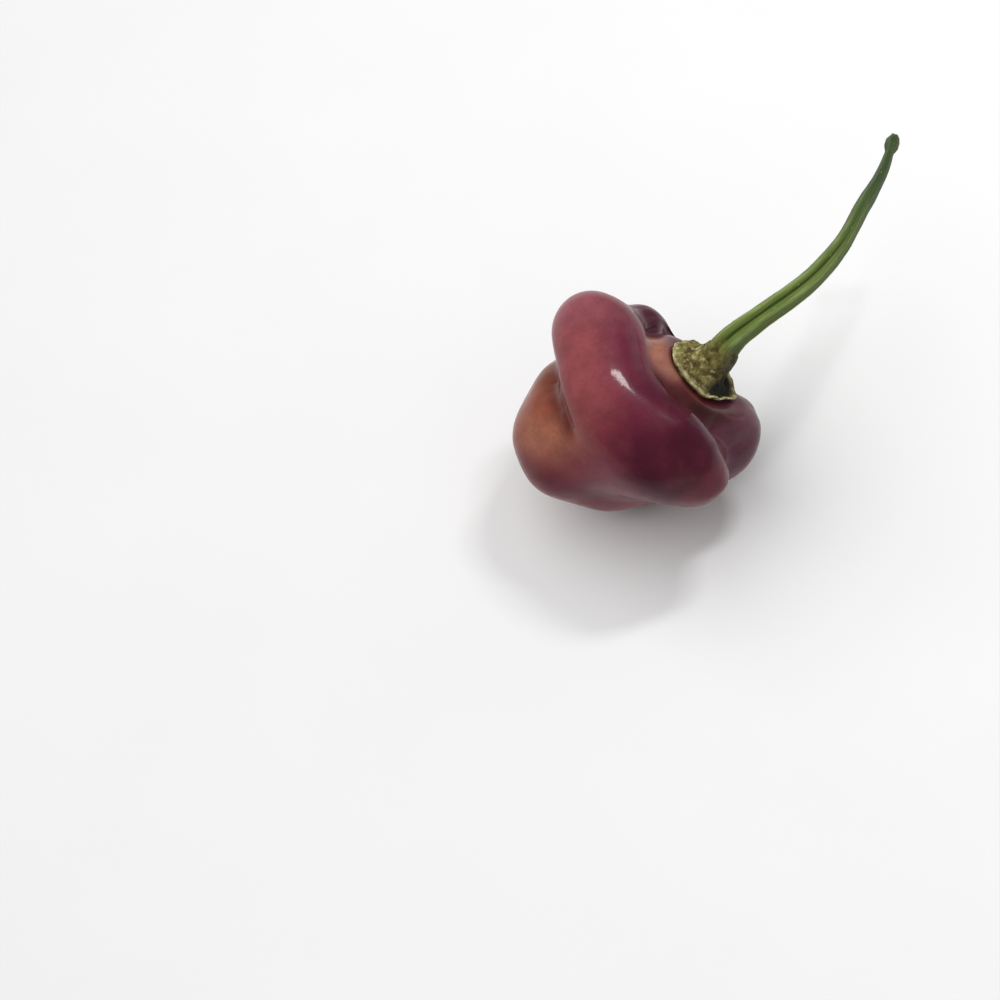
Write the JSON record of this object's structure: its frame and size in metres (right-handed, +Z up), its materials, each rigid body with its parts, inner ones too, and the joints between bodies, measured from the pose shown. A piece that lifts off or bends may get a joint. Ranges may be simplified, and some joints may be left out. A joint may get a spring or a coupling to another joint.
{
  "type": "chilli pepper",
  "caption": "Small squat chilli pepper, a lobed and folded wine-purple pod with a flared green calyx and a long curved stem, lying on its side.",
  "frame": {"origin": "middle of the small flat spot under the pod, on which the pepper lies", "axes": "+Z up, away from the surface it lies on; +X from the pod towards the free end of the stem"},
  "size_m": [0.0667, 0.0318, 0.0286],
  "materials": {
    "pod_skin": "glossy thin skin, wine purple that turns pink, tan and orange brown towards the blossom end and by the calyx",
    "calyx_skin": "matt brown-green, corky and finely wrinkled, with a thin pale rim",
    "stem_skin": "satin mid green with paler ribs, darker grooves and a dry knob at the end"
  },
  "bodies": {
    "root": {"pod": "pod_skin", "calyx": "calyx_skin", "stem": "stem_skin"}
  },
  "joints": []
}
